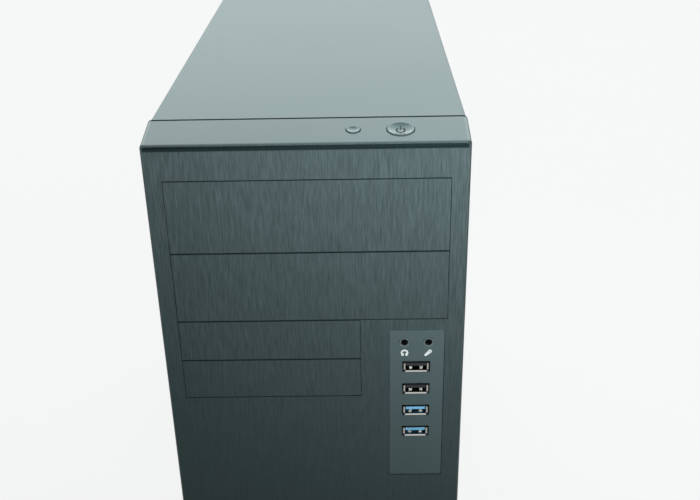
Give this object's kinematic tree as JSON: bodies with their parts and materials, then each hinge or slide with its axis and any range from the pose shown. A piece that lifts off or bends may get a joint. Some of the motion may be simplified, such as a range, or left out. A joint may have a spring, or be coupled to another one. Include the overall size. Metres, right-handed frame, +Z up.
{
  "type": "desktop computer tower",
  "caption": "Upright desktop computer with a brushed front, drive bay covers, a strip of front sockets, round push buttons on top, sliding side panels and its working parts inside.",
  "frame": {"origin": "on the floor under the middle of the tower's bounding box", "axes": "+X to the right as seen from the front, +Y to the rear, +Z up"},
  "size_m": [0.1694, 0.402, 0.356],
  "materials": {
    "brushed_black": "vertically brushed",
    "smooth_black": "smooth satin",
    "black_insulator": "moulded",
    "blue_insulator": "moulded",
    "jack_plastic": "moulded",
    "port_plastic": "moulded",
    "fan_plastic": "moulded",
    "circuit_board": "solder mask",
    "painted_steel": "fine powder coat",
    "zinc_steel": "zinc plated sheet",
    "supply_steel": "painted sheet",
    "plated_steel": "nickel plated",
    "black_screws": "black oxide",
    "cast_aluminium": "cast",
    "bright_aluminium": "bright",
    "pin_brass": "plated",
    "rubber_pad": "matte"
  },
  "bodies": {
    "chassis": {"audio_jacks": "jack_plastic", "board_heatsinks": "bright_aluminium", "board_sockets": "black_insulator", "bottom_panel": "painted_steel", "button_switches": "black_insulator", "capacitors": "bright_aluminium", "case_screws": "plated_steel", "coin_cell": "plated_steel", "cpu_fan_frame": "fan_plastic", "cpu_heatsink": "bright_aluminium", "drive_cage_walls": "zinc_steel", "drive_shelf": "zinc_steel", "expansion_slots": "black_insulator", "fan_guards": "supply_steel", "fan_screws": "black_screws", "feet": "smooth_black", "foot_pads": "rubber_pad", "front_bezel": "brushed_black", "front_frame": "zinc_steel", "front_io_board": "circuit_board", "front_io_plate": "smooth_black", "hard_drive": "cast_aluminium", "hard_drive_cage": "zinc_steel", "hard_drive_lid": "bright_aluminium", "inlet_pins": "pin_brass", "io_shield": "zinc_steel", "memory_modules": "circuit_board", "memory_slots": "black_insulator", "motherboard": "circuit_board", "motherboard_tray": "zinc_steel", "processor": "bright_aluminium", "psu_board": "circuit_board", "psu_case": "supply_steel", "psu_fan_frame": "fan_plastic", "psu_inlet": "black_insulator", "psu_lid": "supply_steel", "psu_switch_housing": "black_insulator", "rear_fan_frame": "fan_plastic", "rear_panel": "zinc_steel", "rear_ports": "port_plastic", "slot_covers": "zinc_steel", "small_bay_cover_lower": "brushed_black", "small_bay_cover_upper": "brushed_black", "switch_board": "circuit_board", "top_panel": "painted_steel", "usb_black_tongues": "black_insulator", "usb_blue_tongues": "blue_insulator", "usb_shells": "plated_steel", "wide_bay_cover_lower": "brushed_black", "wide_bay_cover_upper": "brushed_black"},
    "power_button": {"power_button": "smooth_black"},
    "reset_button": {"reset_button": "smooth_black"},
    "left_side_panel": {"left_side_panel": "painted_steel", "left_thumbscrews": "black_screws"},
    "right_side_panel": {"right_side_panel": "painted_steel", "right_thumbscrews": "black_screws"},
    "rear_fan_rotor": {"rear_fan_rotor": "fan_plastic"},
    "cpu_fan_rotor": {"cpu_fan_rotor": "fan_plastic"},
    "psu_fan_rotor": {"psu_fan_rotor": "fan_plastic"},
    "psu_rocker": {"psu_rocker": "black_insulator"}
  },
  "joints": [
    {"name": "power_button_press", "type": "slide", "parent": "chassis", "child": "power_button", "axis": [0, 0.1701, -0.9854], "range_m": [0, 0.0015], "stiffness_N_per_m": 1500},
    {"name": "reset_button_press", "type": "slide", "parent": "chassis", "child": "reset_button", "axis": [0, 0.1701, -0.9854], "range_m": [0, 0.0015], "stiffness_N_per_m": 1500},
    {"name": "left_panel_slide", "type": "slide", "parent": "chassis", "child": "left_side_panel", "axis": [0, 1, 0], "range_m": [0, 0.37]},
    {"name": "right_panel_slide", "type": "slide", "parent": "chassis", "child": "right_side_panel", "axis": [0, 1, 0], "range_m": [0, 0.37]},
    {"name": "rear_fan_spin", "type": "hinge", "parent": "chassis", "child": "rear_fan_rotor", "pos_m": [-0.02505, 0.179, 0.2053], "axis": [0, -1, 0], "continuous": true},
    {"name": "cpu_fan_spin", "type": "hinge", "parent": "chassis", "child": "cpu_fan_rotor", "pos_m": [0.0152, 0.1064, 0.195], "axis": [-1, 0, 0], "continuous": true},
    {"name": "psu_fan_spin", "type": "hinge", "parent": "chassis", "child": "psu_fan_rotor", "pos_m": [0, 0.1214, 0.282], "axis": [0, 0, 1], "continuous": true},
    {"name": "psu_rocker_tilt", "type": "hinge", "parent": "chassis", "child": "psu_rocker", "pos_m": [0.052, 0.1878, 0.3023], "axis": [0, 0, 1], "range_deg": [-16, 0]}
  ]
}
